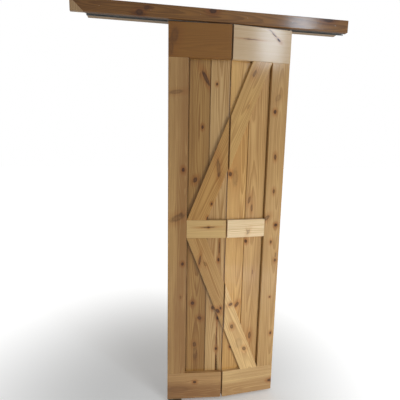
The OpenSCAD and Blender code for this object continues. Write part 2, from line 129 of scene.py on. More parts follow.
def new_group(name, inputs, outputs):
    """A node group, with its two ends."""
    group = bpy.data.node_groups.new(name, "ShaderNodeTree")
    for way, sockets in (("INPUT", inputs), ("OUTPUT", outputs)):
        for socket, kind in sockets.items():
            group.interface.new_socket(
                socket, in_out=way, socket_type="NodeSocket" + kind)
    start = group.nodes.new("NodeGroupInput").outputs
    end = group.nodes.new("NodeGroupOutput").inputs
    return group, start, end


def make_knot_group():
    """One knot. The grain parts around it, and it has a heart, a dark rim and a stain."""
    marks = {"Bend": "Float", "Heart": "Float", "Rim": "Float", "Stain": "Float"}
    inputs = {"Board": "Vector", "Across": "Float", "Along": "Float", "Size": "Float",
              "Stretch": "Float", "Turn": "Float", "Strength": "Float", **marks}
    group, start, end = new_group("knot", inputs, marks)
    board = add_node(group, "SeparateXYZ", {0: start["Board"]}).outputs
    dx = calc(group, "SUBTRACT", board["X"], start["Across"])
    dz = calc(group, "SUBTRACT", board["Z"], start["Along"])
    cos = calc(group, "COSINE", start["Turn"])
    sin = calc(group, "SINE", start["Turn"])
    wide = calc(group, "SUBTRACT",
                calc(group, "MULTIPLY", dx, cos), calc(group, "MULTIPLY", dz, sin))
    tall = calc(group, "ADD",
                calc(group, "MULTIPLY", dx, sin), calc(group, "MULTIPLY", dz, cos))
    tall = calc(group, "DIVIDE", tall, start["Stretch"])
    reach = calc(group, "SQRT", calc(group, "ADD",
                 calc(group, "MULTIPLY", wide, wide), calc(group, "MULTIPLY", tall, tall)))
    ragged = noise(group, start["Board"], (140, 140, 90), start["Along"], 3).outputs[0]
    ragged = calc(group, "MULTIPLY", calc(group, "SUBTRACT", ragged, 0.5), 0.9)
    reach = calc(group, "ADD", calc(group, "DIVIDE", reach, start["Size"]), ragged)

    heart = calc(group, "SUBTRACT", 1.0, fade(group, reach, 0.75, 1.1))
    rim = calc(group, "MULTIPLY", fade(group, reach, 0.35, 0.9),
               calc(group, "SUBTRACT", 1.0, fade(group, reach, 0.95, 1.5)))
    stain = calc(group, "SUBTRACT", 1.0, fade(group, reach, 0.9, 4.0))
    for mark, value in (("Heart", heart), ("Rim", rim), ("Stain", stain)):
        value = calc(group, "MULTIPLY", value, start["Strength"])
        group.links.new(calc(group, "MAXIMUM", value, start[mark]), end[mark])

    # The grain flows past the knot as water does past a pile
    along = calc(group, "MULTIPLY", dz, 0.3)
    far = calc(group, "ADD", calc(group, "MULTIPLY", dx, dx), calc(group, "MULTIPLY", along, along))
    far = calc(group, "DIVIDE", far, calc(group, "MULTIPLY", start["Size"], start["Size"]))
    far = calc(group, "MAXIMUM", calc(group, "MULTIPLY", far, 0.6), 1.0)
    pushed = calc(group, "DIVIDE", dx, far)
    pushed = calc(group, "MULTIPLY", pushed, start["Strength"])
    group.links.new(calc(group, "SUBTRACT", start["Bend"], pushed), end["Bend"])
    return group


def make_wood_group():
    """Planed softwood: growth rings about a pith behind the face, streaks and fibres."""
    inputs = {"Board": "Vector", "Bend": "Float", "Heart": "Float", "Rim": "Float",
              "Stain": "Float", "Pith": "Float", "Heartwood And Shade": "Float", "Number": "Float",
              "Light": "Color", "Dark": "Color", "Contrast": "Float"}
    outputs = {"Color": "Color", "Roughness": "Float", "Height": "Float"}
    group, start, end = new_group("planed wood", inputs, outputs)
    number = start["Number"]
    board = add_node(group, "SeparateXYZ", {0: start["Board"]}).outputs
    slow = noise(group, start["Board"], (3, 3, 0.9), number, 1).outputs["Color"]
    slow = add_node(group, "SeparateColor", {0: slow}).outputs

    # Growth rings, 5 mm apart or so
    pith_depth, ring = 0.03, 0.0052
    across = calc(group, "SUBTRACT", calc(group, "ADD", board["X"], start["Bend"]), start["Pith"])
    across = calc(group, "MULTIPLY_ADD", calc(group, "SUBTRACT", slow[0], 0.5), 0.06, across)
    depth = calc(group, "ADD", board["Y"], pith_depth)
    depth = calc(group, "MULTIPLY_ADD", calc(group, "SUBTRACT", slow[1], 0.5), 0.14, depth)
    radius = calc(group, "SQRT", calc(group, "ADD",
                  calc(group, "MULTIPLY", across, across), calc(group, "MULTIPLY", depth, depth)))
    uneven = noise(group, start["Board"], (35, 35, 2.2), number, 3).outputs[0]
    rings = calc(group, "MULTIPLY_ADD", uneven, 1.6, calc(group, "DIVIDE", radius, ring))
    growth = calc(group, "FRACT", rings)
    late = calc(group, "MULTIPLY", fade(group, growth, 0.15, 0.9),
                calc(group, "SUBTRACT", 1.0, fade(group, growth, 0.92, 1.0)))

    # Streaks and fibres follow the grain round the knots
    bent_x = calc(group, "ADD", board["X"], start["Bend"])
    bent = add_node(group, "CombineXYZ", {"X": bent_x, "Y": board["Y"], "Z": board["Z"]}).outputs[0]
    fibre = noise(group, bent, (850, 850, 11), number, 3).outputs[0]
    streak = noise(group, bent, (110, 110, 1.5), number, 4).outputs[0]
    streak = fade(group, streak, 0.3, 0.72)
    patch = noise(group, bent, (9, 9, 1.6), number, 2).outputs[0]
    patch = fade(group, patch, 0.3, 0.7)

    tone = calc(group, "MULTIPLY_ADD", late, 0.42, calc(group, "MULTIPLY", streak, 0.34))
    tone = calc(group, "MULTIPLY_ADD", patch, 0.3, tone)
    tone = calc(group, "MULTIPLY_ADD", calc(group, "SUBTRACT", fibre, 0.5), 0.6, tone)
    tone = calc(group, "MULTIPLY", calc(group, "SUBTRACT", tone, 0.5), start["Contrast"])

    # A band beside the pith is darker. On the left stile this is heartwood; on the bottom rails it
    # is painted shade, the darker lower half where less light reaches near the floor.
    inside = calc(group, "SUBTRACT", calc(group, "ABSOLUTE", across), start["Heartwood And Shade"])
    inside = calc(group, "SUBTRACT", 1.0, fade(group, inside, -0.02, 0.02))
    inside = calc(group, "MULTIPLY", inside, calc(group, "GREATER_THAN", start["Heartwood And Shade"], 0.0))
    tone = calc(group, "MULTIPLY_ADD", inside, 0.55, tone)
    tone = add_node(group, "Clamp", {0: calc(group, "ADD", tone, 0.5)}).outputs[0]
    colour = mix_colour(group, tone, start["Light"], start["Dark"])

    # Knots: an amber stain, a brown heart with darker specks, and a dark rim
    amber, brown, bark = (0.72, 0.42, 0.2, 1), (0.05, 0.018, 0.007, 1), (0.03, 0.012, 0.006, 1)
    stained = mix_colour(group, 1.0, colour, amber, "MULTIPLY")
    colour = mix_colour(group, calc(group, "MULTIPLY", start["Stain"], 0.75), colour, stained)
    speck = noise(group, start["Board"], (420, 420, 300), number, 2).outputs[0]
    speck = fade(group, speck, 0.3, 0.7)
    heart = calc(group, "MULTIPLY", start["Heart"], calc(group, "MULTIPLY_ADD", speck, 0.2, 0.74))
    colour = mix_colour(group, heart, colour, brown)
    colour = mix_colour(group, calc(group, "MULTIPLY", start["Rim"], 0.6), colour, bark)
    group.links.new(colour, end["Color"])

    dull = calc(group, "MULTIPLY_ADD", fibre, 0.2, 0.4)
    group.links.new(calc(group, "MULTIPLY_ADD", start["Rim"], 0.2, dull), end["Roughness"])
    height = calc(group, "MULTIPLY_ADD", fibre, 0.6, calc(group, "MULTIPLY", late, -0.25))
    height = calc(group, "MULTIPLY_ADD", start["Rim"], -0.6, height)
    group.links.new(height, end["Height"])
    return group


knot_group = make_knot_group()
wood_group = make_wood_group()


def new_material(name):
    """A material, its node tree and its main shader."""
    material = bpy.data.materials.new(name)
    material.use_nodes = True
    return material, material.node_tree, material.node_tree.nodes["Principled BSDF"]


def wood_material(name, place, turn, lean, pith, light, dark,
                  knots=(), contrast=1.6, heartwood_and_shade=0.0):
    """Varnished wood. Its grain leans from upright, on a leaf or casing turned about Z. Knots
    are (x, z, size, stretch, turn in degrees, strength), from the place."""
    material, tree, shader = new_material(name)
    number = float(len(bpy.data.materials))
    settings = {"Vector": add_node(tree, "TexCoord").outputs["Object"],
                "Location": place, "Rotation": (0, lean, turn)}
    board = add_node(tree, "Mapping", settings, vector_type="TEXTURE").outputs[0]

    marks = {"Bend": 0.0, "Heart": 0.0, "Rim": 0.0, "Stain": 0.0}
    for x, z, size, stretch, slant, strength in knots:
        sockets = {"Board": board, "Size": size, "Stretch": stretch, "Strength": strength,
                   "Across": x * math.cos(lean) - z * math.sin(lean),
                   "Along": x * math.sin(lean) + z * math.cos(lean),
                   "Turn": math.radians(slant) - lean, **marks}
        knot = add_node(tree, "Group", sockets, node_tree=knot_group)
        marks = {mark: knot.outputs[mark] for mark in marks}

    sockets = {"Board": board, "Pith": pith, "Heartwood And Shade": heartwood_and_shade, "Number": number,
               "Light": (*light, 1), "Dark": (*dark, 1), "Contrast": contrast, **marks}
    wood = add_node(tree, "Group", sockets, node_tree=wood_group)
    tree.links.new(wood.outputs["Color"], shader.inputs["Base Color"])
    tree.links.new(wood.outputs["Roughness"], shader.inputs["Roughness"])
    for socket, depth in (("Normal", 0.0002), ("Coat Normal", 0.00003)):
        bump = add_node(tree, "Bump", {"Distance": depth, "Height": wood.outputs["Height"]})
        tree.links.new(bump.outputs[0], shader.inputs[socket])
    shader.inputs["Specular IOR Level"].default_value = 0.25
    shader.inputs["Coat Weight"].default_value = 1
    shader.inputs["Coat Roughness"].default_value = 0.16
    shader.inputs["Coat IOR"].default_value = 1.45
    return material


def leaf_wood(piece, leaf, lean, light, dark, knots=(), pith=0.0, contrast=1.6, heartwood_and_shade=0.0):
    """Finishes a board of a leaf. The pith lies that far to the side of the board's middle."""
    points = [v.co for v in piece.data.vertices]
    middle = sum(points, Vector()) / len(points)
    middle = leaf_at[leaf].inverted() @ middle
    across = middle.x * math.cos(lean) - middle.z * math.sin(lean)
    piece.data.materials.clear()
    piece.data.materials.append(wood_material(
        piece.name, leaf_at[leaf].translation, leaf_turn[leaf], lean, across + pith,
        light, dark, knots, contrast, heartwood_and_shade))


def pick(kind, wanted):
    """Selects, in edit mode, the edges or faces whose corners all pass a test."""
    mesh = bmesh.from_edit_mesh(bpy.context.object.data)
    bpy.ops.mesh.select_mode(type=kind)
    bpy.ops.mesh.select_all(action="DESELECT")
    for item in mesh.edges if kind == "EDGE" else mesh.faces:
        item.select_set(all(wanted(v.co) for v in item.verts))
    mesh.select_flush_mode()
    bmesh.update_edit_mesh(bpy.context.object.data)


def finish_board(board, leaf, node):
    """Breaks a board's last sharp edges, sets it on its leaf and retires the plain one."""
    edges = board.modifiers.new("broken edges", "BEVEL")
    edges.width, edges.segments, edges.limit_method = 0.0005, 2, "ANGLE"
    edges.angle_limit = math.radians(40)
    bpy.ops.object.modifier_apply(modifier=edges.name)
    board.matrix_world = leaf_at[leaf]
    bpy.ops.object.transform_apply(location=True, rotation=True, scale=True)
    bpy.ops.object.shade_smooth_by_angle(angle=math.radians(35))
    flats = board.modifiers.new("flat faces stay flat", "WEIGHTED_NORMAL")
    flats.keep_sharp = True
    bpy.ops.object.modifier_apply(modifier=flats.name)
    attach(board, leaf)
    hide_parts(node)
    board.select_set(False)


def hollow(board, at, size, slant=0):
    """Opens a crack or a lost knot in a board: a flat round cutter is taken out of it."""
    bpy.ops.mesh.primitive_uv_sphere_add(
        segments=20, ring_count=12, radius=1, location=at, scale=size,
        rotation=(0, math.radians(slant), 0))
    cutter = bpy.context.object
    bpy.ops.object.transform_apply(location=True, rotation=True, scale=True)
    cutter.select_set(False)
    board.select_set(True)
    bpy.context.view_layer.objects.active = board
    cut = board.modifiers.new("hollow", "BOOLEAN")
    cut.operation, cut.solver, cut.object = "DIFFERENCE", "EXACT", cutter
    bpy.ops.object.modifier_apply(modifier=cut.name)
    bpy.data.objects.remove(cutter)


plank_gap, tongue_len, tongue_t, tongue_play = 0.0045, 0.006, 0.006, 0.0002
near = 1e-5


def make_plank(leaf, node, grooved, tongued, hollows=()):
    """A plank's section is cut from a flat blank, and drawn up to the plank's height."""
    low, high = leaf_box(leaf, node)
    shoulder = high.x - (tongue_len if tongued else 0)
    middle = (low.y + high.y) / 2
    tongue = (middle - tongue_t / 2, middle + tongue_t / 2)
    groove = (tongue[0] - tongue_play, tongue[1] + tongue_play)
    groove_end = low.x + tongue_len + tongue_play
    bpy.ops.mesh.primitive_plane_add(size=1, location=((low.x + shoulder) / 2, middle, low.z))
    plank = bpy.context.object
    plank.name = node + "_board"
    plank.scale = (shoulder - low.x, high.y - low.y, 1)
    bpy.ops.object.transform_apply(location=True, rotation=True, scale=True)
    bpy.ops.object.mode_set(mode="EDIT")
    cuts = [((0, y, 0), (0, 1, 0)) for y in (*tongue, *groove)]
    cuts += [((x, 0, 0), (1, 0, 0)) for x in (groove_end, shoulder - plank_gap)]
    for place, normal in cuts:
        bpy.ops.mesh.select_all(action="SELECT")
        bpy.ops.mesh.bisect(plane_co=place, plane_no=normal)
    if tongued:
        pick("FACE", lambda p: p.x > shoulder - plank_gap - near and p.y < tongue[0] + near)
        bpy.ops.mesh.delete(type="FACE")
        pick("EDGE", lambda p: p.x > shoulder - near and tongue[0] - near < p.y < tongue[1] + near)
        bpy.ops.mesh.extrude_region_move(TRANSFORM_OT_translate={"value": (tongue_len, 0, 0)})
    if grooved:
        pick("FACE", lambda p: (
            p.x < groove_end + near and groove[0] - near < p.y < groove[1] + near))
        bpy.ops.mesh.delete(type="FACE")
    bpy.ops.mesh.select_all(action="SELECT")
    bpy.ops.mesh.remove_doubles(threshold=near)
    bpy.ops.mesh.dissolve_limited(angle_limit=math.radians(1))
    bpy.ops.mesh.select_all(action="SELECT")
    bpy.ops.mesh.extrude_region_move(TRANSFORM_OT_translate={"value": (0, 0, high.z - low.z)})
    bpy.ops.mesh.select_all(action="SELECT")
    bpy.ops.mesh.normals_make_consistent(inside=False)
    bpy.ops.object.mode_set(mode="OBJECT")
    for x, z, size, slant in hollows:
        hollow(plank, (x, low.y, z), size, slant)
    finish_board(plank, leaf, node)
    return plank


upright = 0.0
brown_light, brown_dark = (0.428, 0.24, 0.072), (0.257, 0.12, 0.031)

plank = make_plank("left_leaf", "left_outer_plank", False, True)
leaf_wood(plank, "left_leaf", upright, brown_light, brown_dark)

plank = make_plank("left_leaf", "left_middle_plank", True, True)
leaf_wood(plank, "left_leaf", upright, brown_light, brown_dark, [
    (0.185, 1.76, 0.008, 4.0, -28, 0.8), (0.173, 1.524, 0.005, 1.6, 0, 0.9),
    (0.14, 1.257, 0.009, 1.4, 30, 0.8), (0.136, 0.575, 0.008, 1.1, 0, 0.9),
    (0.176, 0.486, 0.008, 1.3, -60, 0.7), (0.151, 0.326, 0.009, 1.5, 0, 0.6),
    (0.155, 0.27, 0.012, 3.0, 0, 0.3)])

plank = make_plank("left_leaf", "left_inner_plank", True, False, [
    (0.276, 0.89, (0.0016, 0.003, 0.034), 0), (0.2745, 0.36, (0.0015, 0.003, 0.07), 0),
    (0.2735, 0.21, (0.0013, 0.003, 0.05), 0)])
leaf_wood(plank, "left_leaf", upright, (0.589, 0.376, 0.159), (0.38, 0.203, 0.068), [
    (0.241, 1.734, 0.004, 1.6, 0, 1.0), (0.276, 0.89, 0.0022, 14.0, 0, 1.0),
    (0.273, 0.824, 0.0045, 2.0, 0, 1.0), (0.247, 0.545, 0.006, 1.4, 0, 0.7),
    (0.277, 0.484, 0.005, 2.0, 0, 1.0), (0.2745, 0.36, 0.0022, 32.0, 0, 1.0),
    (0.274, 0.295, 0.0055, 1.8, 0, 1.0), (0.2735, 0.21, 0.002, 26.0, 0, 1.0)])

plank = make_plank("right_leaf", "right_inner_plank", False, True)
leaf_wood(plank, "right_leaf", upright, (0.683, 0.413, 0.141), (0.465, 0.24, 0.068), [
    (0.013, 1.289, 0.008, 1.3, 0, 0.9), (0.04, 1.27, 0.014, 3.0, 0, 0.25),
    (0.076, 0.555, 0.008, 1.8, 35, 0.75), (0.047, 0.298, 0.0055, 1.3, 0, 1.0)])

plank = make_plank("right_leaf", "right_middle_plank", True, True, [
    (0.114, 0.922, (0.0045, 0.003, 0.0055), 0)])
leaf_wood(plank, "right_leaf", upright, (0.607, 0.37, 0.139), (0.405, 0.211, 0.066), [
    (0.124, 1.15, 0.006, 3.0, 12, 0.55), (0.14, 1.105, 0.005, 3.5, 0, 0.55),
    (0.114, 0.922, 0.007, 1.2, 0, 1.0), (0.161, 0.356, 0.008, 2.4, 0, 0.65),
    (0.162, 0.741, 0.003, 4.0, 0, 0.4)])

plank = make_plank("right_leaf", "right_outer_plank", True, False)
leaf_wood(plank, "right_leaf", upright, (0.64, 0.405, 0.175), (0.35, 0.175, 0.06))


# ---- Stiles ----
# A stile stands at the outer edge of each leaf, between the top and bottom rails. It is a
# board of the same wood, glued and screwed on from behind, with its front edges eased.

ease_w, ease_segments = 0.0025, 3


def make_face_board(leaf, node, hollows=()):
    """A board on the face of a leaf. The edges that run along it are rounded at the front."""
    low, high = leaf_box(leaf, node)
    bpy.ops.mesh.primitive_cube_add(size=1, location=(low + high) / 2)
    board = bpy.context.object
    board.name = node + "_board"
    board.scale = high - low
    bpy.ops.object.transform_apply(location=True, rotation=True, scale=True)
    along = 2 if high.z - low.z > high.x - low.x else 0
    side = 0 if along == 2 else 2
    bpy.ops.object.mode_set(mode="EDIT")
    for limit in (low[side], high[side]):
        pick("EDGE", lambda p: p.y < low.y + near and abs(p[side] - limit) < near)
        bpy.ops.mesh.bevel(offset=ease_w, segments=ease_segments, affect="EDGES")
    bpy.ops.object.mode_set(mode="OBJECT")
    for x, z, size, slant in hollows:
        hollow(board, (x, low.y, z), size, slant)
    finish_board(board, leaf, node)
    return board


board = make_face_board("left_leaf", "left_stile")
leaf_wood(board, "left_leaf", upright, (0.538, 0.328, 0.124), (0.326, 0.166, 0.054), [
    (0.04, 1.688, 0.008, 4.0, 82, 0.35), (0.077, 1.309, 0.006, 1.5, 0, 0.95),
    (0.05, 1.06, 0.014, 2.6, 65, 0.4), (0.066, 1.078, 0.007, 1.5, 30, 0.5),
    (0.078, 0.809, 0.006, 1.2, 0, 0.95), (0.07, 0.62, 0.004, 2.0, 0, 0.4)],
    pith=0.036, heartwood_and_shade=0.035)

board = make_face_board("right_leaf", "right_stile", [
    (0.277, 1.011, (0.0055, 0.0035, 0.0055), 0)])
leaf_wood(board, "right_leaf", upright, (0.55, 0.34, 0.132), (0.381, 0.205, 0.068), [
    (0.237, 1.61, 0.0065, 1.4, 0, 1.0), (0.252, 1.38, 0.0055, 2.2, 0, 0.8),
    (0.255, 1.197, 0.0055, 1.8, 0, 0.7), (0.277, 1.011, 0.0075, 1.0, 0, 1.0),
    (0.222, 1.052, 0.009, 1.8, 50, 0.55), (0.254, 0.916, 0.005, 1.6, 0, 0.8),
    (0.285, 0.809, 0.006, 1.3, 0, 0.8), (0.286, 0.84, 0.004, 3.0, 0, 0.5),
    (0.266, 0.592, 0.004, 1.0, 0, 0.9), (0.283, 0.367, 0.005, 1.6, 0, 0.9),
    (0.25, 1.68, 0.012, 1.6, 40, 0.2)])


# ---- Rails ----
# Each leaf has a top, a middle and a bottom rail that lie across its planks. The right
# leaf's top and middle rails come from paler boards than the rest.

level = math.pi / 2

# This board's dark brown is partly its own tone and partly painted shade, for the less lit top left
# of the door.
board = make_face_board("left_leaf", "left_top_rail")
leaf_wood(board, "left_leaf", level, (0.294, 0.126, 0.019), (0.206, 0.081, 0.011), [
    (0.03, 1.945, 0.016, 2.0, 10, 0.35), (0.012, 1.9, 0.012, 3.0, 0, 0.3)],
    pith=0.03, contrast=0.8)

board = make_face_board("left_leaf", "left_mid_rail")
leaf_wood(board, "left_leaf", level, (0.678, 0.464, 0.196), (0.493, 0.292, 0.105), [
    (0.213, 1.009, 0.004, 1.6, 90, 1.0), (0.212, 1.0095, 0.0028, 12.0, 88, 0.7)],
    contrast=0.8)

# Painted shade: the dark band that the last two settings put over the lower half of this rail
# stands for the shade near the floor.
board = make_face_board("left_leaf", "left_bottom_rail")
leaf_wood(board, "left_leaf", level, (0.532, 0.315, 0.125), (0.304, 0.149, 0.051), [
    (0.154, 0.103, 0.0065, 1.3, 90, 1.0), (0.06, 0.06, 0.02, 3.0, 90, 0.15)],
    pith=0.05, heartwood_and_shade=0.05)

board = make_face_board("right_leaf", "right_top_rail", [
    (0.214, 1.975, (0.0016, 0.003, 0.016), 128), (0.236, 1.956, (0.0024, 0.0035, 0.009), 130)])
leaf_wood(board, "right_leaf", level, (0.647, 0.486, 0.304), (0.484, 0.319, 0.16), [
    (0.209, 1.98, 0.003, 5.0, 128, 0.85), (0.236, 1.956, 0.0042, 2.4, 130, 1.0),
    (0.191, 1.995, 0.003, 3.0, 120, 0.6), (0.09, 1.947, 0.0016, 22.0, 90, 0.7),
    (0.075, 1.947, 0.003, 3.0, 90, 0.4)], pith=-0.03, contrast=0.8)

board = make_face_board("right_leaf", "right_mid_rail")
leaf_wood(board, "right_leaf", level, (0.918, 0.726, 0.465), (0.673, 0.474, 0.243), [
    (0.118, 0.978, 0.006, 2.2, 25, 0.35), (0.112, 0.985, 0.004, 2.0, -20, 0.4)])

# Painted shade: the dark band that the last two settings put over the lower half of this rail
# stands for the shade near the floor.
board = make_face_board("right_leaf", "right_bottom_rail")
leaf_wood(board, "right_leaf", level, (0.739, 0.516, 0.23), (0.426, 0.24, 0.092), [
    (0.294, 0.06, 0.007, 1.5, 90, 0.9)], pith=0.05, heartwood_and_shade=0.045)


# ---- Braces ----
# Two diagonal boards make the K. Each was one board, sawn through at the seam, and its two
# edges run from corner to corner of the panel that it crosses.

brace_w = 0.098
left_stile = leaf_box("left_leaf", "left_stile")
right_stile = leaf_box("right_leaf", "right_stile")
left_mid_rail = leaf_box("left_leaf", "left_mid_rail")
left_top_rail = leaf_box("left_leaf", "left_top_rail")
left_bottom_rail = leaf_box("left_leaf", "left_bottom_rail")
left_leaf_w = left_top_rail[1].x
seam_gap = 2 * ((leaf_at["left_leaf"].inverted() @ seam_axis).x - left_leaf_w)
panel_w = left_leaf_w - left_stile[1].x + seam_gap + right_stile[0].x
face_t = left_stile[1].y - left_stile[0].y


def make_brace(leaf, node, low_z, high_z, rises):
    """Half of a brace: a long board is laid across its panel, and sawn off at the edges."""
    shift = 0 if leaf == "left_leaf" else -left_leaf_w - seam_gap
    height = high_z - low_z
    run = math.hypot(height, panel_w)
    slope = math.atan2(height, panel_w) + math.asin(brace_w / run)
    rise = 1 if rises else -1
    lean = math.pi / 2 - rise * slope
    corner = Vector((left_stile[1].x + shift, 0, low_z if rises else high_z))
    along = Vector((math.cos(slope), 0, rise * math.sin(slope)))
    across = Vector((math.sin(slope), 0, -rise * math.cos(slope)))
    middle = corner + along * run / 2 + across * brace_w / 2 + Vector((0, face_t / 2, 0))
    bpy.ops.mesh.primitive_cube_add(size=1, location=middle, rotation=(0, lean, 0))
    board = bpy.context.object
    board.name = node + "_board"
    board.scale = (brace_w, face_t, run + 2 * brace_w)
    bpy.ops.object.transform_apply(location=True, rotation=True, scale=True)
    bpy.ops.object.mode_set(mode="EDIT")
    for side in (-1, 1):
        edge = side * brace_w / 2
        pick("EDGE", lambda p: p.y < near and abs((p - middle).dot(across) - edge) < 10 * near)
        bpy.ops.mesh.bevel(offset=ease_w, segments=ease_segments, affect="EDGES")
    low_x = left_stile[1].x if leaf == "left_leaf" else 0
    high_x = left_leaf_w if leaf == "left_leaf" else right_stile[0].x
    for place, normal in (
        ((low_x, 0, 0), (-1, 0, 0)), ((high_x, 0, 0), (1, 0, 0)),
        ((0, 0, low_z), (0, 0, -1)), ((0, 0, high_z), (0, 0, 1)),
    ):
        bpy.ops.mesh.select_all(action="SELECT")
        bpy.ops.mesh.bisect(plane_co=place, plane_no=normal, clear_outer=True, use_fill=True)
    bpy.ops.object.mode_set(mode="OBJECT")
    finish_board(board, leaf, node)
    return board, lean


upper_panel = left_mid_rail[1].z, left_top_rail[0].z
lower_panel = left_bottom_rail[1].z, left_mid_rail[0].z

board, lean = make_brace("left_leaf", "left_upper_brace", *upper_panel, True)
leaf_wood(board, "left_leaf", lean, (0.537, 0.303, 0.091), (0.359, 0.171, 0.044), [
    (0.2575, 1.32, 0.009, 4.5, -6, 0.5), (0.259, 1.285, 0.005, 2.0, 0, 0.6),
    (0.226, 1.134, 0.0045, 1.3, 0, 0.9), (0.208, 1.056, 0.005, 1.6, 0, 1.0)])

board, lean = make_brace("left_leaf", "left_lower_brace", *lower_panel, False)
leaf_wood(board, "left_leaf", lean, (0.554, 0.333, 0.118), (0.375, 0.188, 0.055), [
    (0.17, 0.828, 0.005, 5.0, 8, 0.7), (0.199, 0.807, 0.006, 2.0, -25, 0.4),
    (0.274, 0.536, 0.008, 1.6, -35, 0.95), (0.29, 0.551, 0.005, 1.5, 0, 0.9)])

board, lean = make_brace("right_leaf", "right_upper_brace", *upper_panel, True)
leaf_wood(board, "right_leaf", lean, (0.585, 0.355, 0.12), (0.402, 0.21, 0.062), [
    (0.116, 1.79, 0.007, 2.4, 25, 0.5), (0.09, 1.63, 0.004, 3.0, 24, 0.3)])

board, lean = make_brace("right_leaf", "right_lower_brace", *lower_panel, False)
leaf_wood(board, "right_leaf", lean, (0.77, 0.526, 0.231), (0.55, 0.325, 0.126), [
    (0.033, 0.57, 0.007, 1.5, 60, 0.8), (0.045, 0.436, 0.008, 1.4, 0, 0.65),
    (0.124, 0.29, 0.009, 1.3, -30, 0.7), (0.09, 0.33, 0.02, 1.5, 0, 0.15)])


# ---- Head ----
# The head over the opening: a jamb board with the track under it, and a casing nailed to its
# front. A mitre at the left carries on into the side casing. All are stained and varnished, and
# the head casing is coloured darker still as painted shade.

casing_low, casing_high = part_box("header_casing")
casing_middle = (casing_low.z + casing_high.z) / 2


def dress(node, material):
    """Gives a piece that keeps its own shape its finish."""
    piece = frame["nodes"][node]
    piece.data.materials.clear()
    piece.data.materials.append(material)


# The head casing's colours are darkened past the wood's own tone as painted shade, for the less lit
# top of the door.
dress("header_casing", wood_material(
    "header casing", (0, casing_low.y, 0), 0, level, -casing_middle,
    (0.258, 0.114, 0.023), (0.142, 0.056, 0.01), [
        (-0.16, 2.044, 0.01, 1.5, 90, 0.8), (-0.126, 2.066, 0.008, 1.5, 60, 0.5),
        (0.184, 2.076, 0.009, 1.6, 90, 1.0), (0.575, 2.058, 0.016, 2.0, 60, 0.15),
        (0.615, 2.062, 0.014, 2.0, 70, 0.15), (0.775, 2.081, 0.009, 2.4, 88, 0.9)]))
dress("side_casing", wood_material(
    "side casing", (0, casing_low.y, 0), 0, upright, casing_low.x + 0.03,
    (0.5, 0.33, 0.17), (0.34, 0.2, 0.09)))
jamb_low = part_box("head_jamb")[0]
dress("head_jamb", wood_material(
    "head jamb", (0, jamb_low.y, 0), 0, level, -jamb_low.z,
    (0.46, 0.29, 0.13), (0.27, 0.15, 0.06)))


# ---- Track ----
# A steel channel, rolled and galvanised, screwed up to the jamb. The pivot's block and the
# bumper are clamped in it, and the wheel runs between them.

def metal_material(name, colour, shade, roughness, scale, stretch=(1, 1, 1)):
    """Plated or rolled steel, with slight patches in its colour and its shine."""
    material, tree, shader = new_material(name)
    place = add_node(tree, "TexCoord").outputs["Object"]
    flakes = add_node(tree, "VectorMath", {0: place, 1: stretch}, operation="MULTIPLY").outputs[0]
    flakes = add_node(tree, "TexVoronoi", {"Vector": flakes, "Scale": scale}).outputs["Color"]
    flakes = add_node(tree, "SeparateColor", {0: flakes}).outputs[0]
    wear = noise(tree, place, (90, 90, 90), 1.0, 4).outputs[0]
    share = calc(tree, "MULTIPLY_ADD", flakes, 0.5, calc(tree, "MULTIPLY", wear, 0.5))
    tree.links.new(mix_colour(tree, share, (*colour, 1), (*shade, 1)), shader.inputs["Base Color"])
    dull = calc(tree, "MULTIPLY_ADD", share, 0.22, roughness)
    tree.links.new(dull, shader.inputs["Roughness"])
    bump = add_node(tree, "Bump", {"Strength": 0.2, "Distance": 0.0002, "Height": wear})
    tree.links.new(bump.outputs[0], shader.inputs["Normal"])
    shader.inputs["Metallic"].default_value = 1.0
    return material


dress("track", metal_material("galvanised steel", (0.6, 0.61, 0.6), (0.42, 0.43, 0.43), 0.3, 90))


# ---- Pivot and guide ----
# The sprung pins, the clamping screws and the floor pin are zinc plated. The bushings and the
# wheel are moulded nylon, and the bumper is rubber. Each spring is wound from drawn wire, and
# is built at a fixed length.

zinc = metal_material("zinc plate", (0.74, 0.73, 0.68), (0.56, 0.56, 0.52), 0.22, 260)
for node in ("track_screws", "pivot_block", "pivot_clamp_screw", "bumper_clamp_screw",
             "bottom_pivot_pin", "height_nut", "top_pivot_pin", "guide_pin", "casing_nails"):
    dress(node, zinc)
wire = metal_material("spring wire", (0.5, 0.5, 0.5), (0.34, 0.34, 0.35), 0.25, 400, (1, 1, 4))
wire_r, wire_sides, coils, steps = 0.0006, 10, 7, 24
for node, leaf, press in (("top_pivot_spring", "left_leaf", "pivot_pin_press"),
                          ("guide_spring", "right_leaf", "guide_pin_press")):
    low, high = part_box(node)
    middle = (low + high) / 2
    length = high.z - low.z
    bpy.ops.mesh.primitive_circle_add(
        vertices=wire_sides, radius=wire_r, rotation=(math.pi / 2, 0, 0))
    spring = bpy.context.object
    spring.name = node + "_wire"
    bpy.ops.object.transform_apply(location=True, rotation=True, scale=True)
    bpy.ops.object.mode_set(mode="EDIT")
    bpy.ops.mesh.select_all(action="SELECT")
    bpy.ops.transform.translate(value=((high.x - low.x) / 2 - wire_r, 0, 0))
    bpy.ops.object.mode_set(mode="OBJECT")
    coil = spring.modifiers.new("coils", "SCREW")
    coil.iterations, coil.steps, coil.render_steps = coils, steps, steps
    coil.screw_offset = (length - 2 * wire_r) / coils
    bpy.ops.object.modifier_apply(modifier=coil.name)
    bpy.ops.object.mode_set(mode="EDIT")
    bpy.ops.mesh.select_all(action="SELECT")
    bpy.ops.mesh.remove_doubles(threshold=near / 10)
    bpy.ops.mesh.fill_holes(sides=0)
    bpy.ops.mesh.select_all(action="SELECT")
    bpy.ops.mesh.normals_make_consistent(inside=False)
    bpy.ops.object.mode_set(mode="OBJECT")
    bpy.ops.object.shade_smooth_by_angle(angle=math.radians(40))
    spring.location = (middle.x, middle.y, low.z + wire_r)
    bpy.ops.object.transform_apply(location=True, rotation=True, scale=True)
    spring.data.materials.append(wire)
    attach(spring, leaf)
    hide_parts(node)
    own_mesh(spring)
    spring.select_set(False)


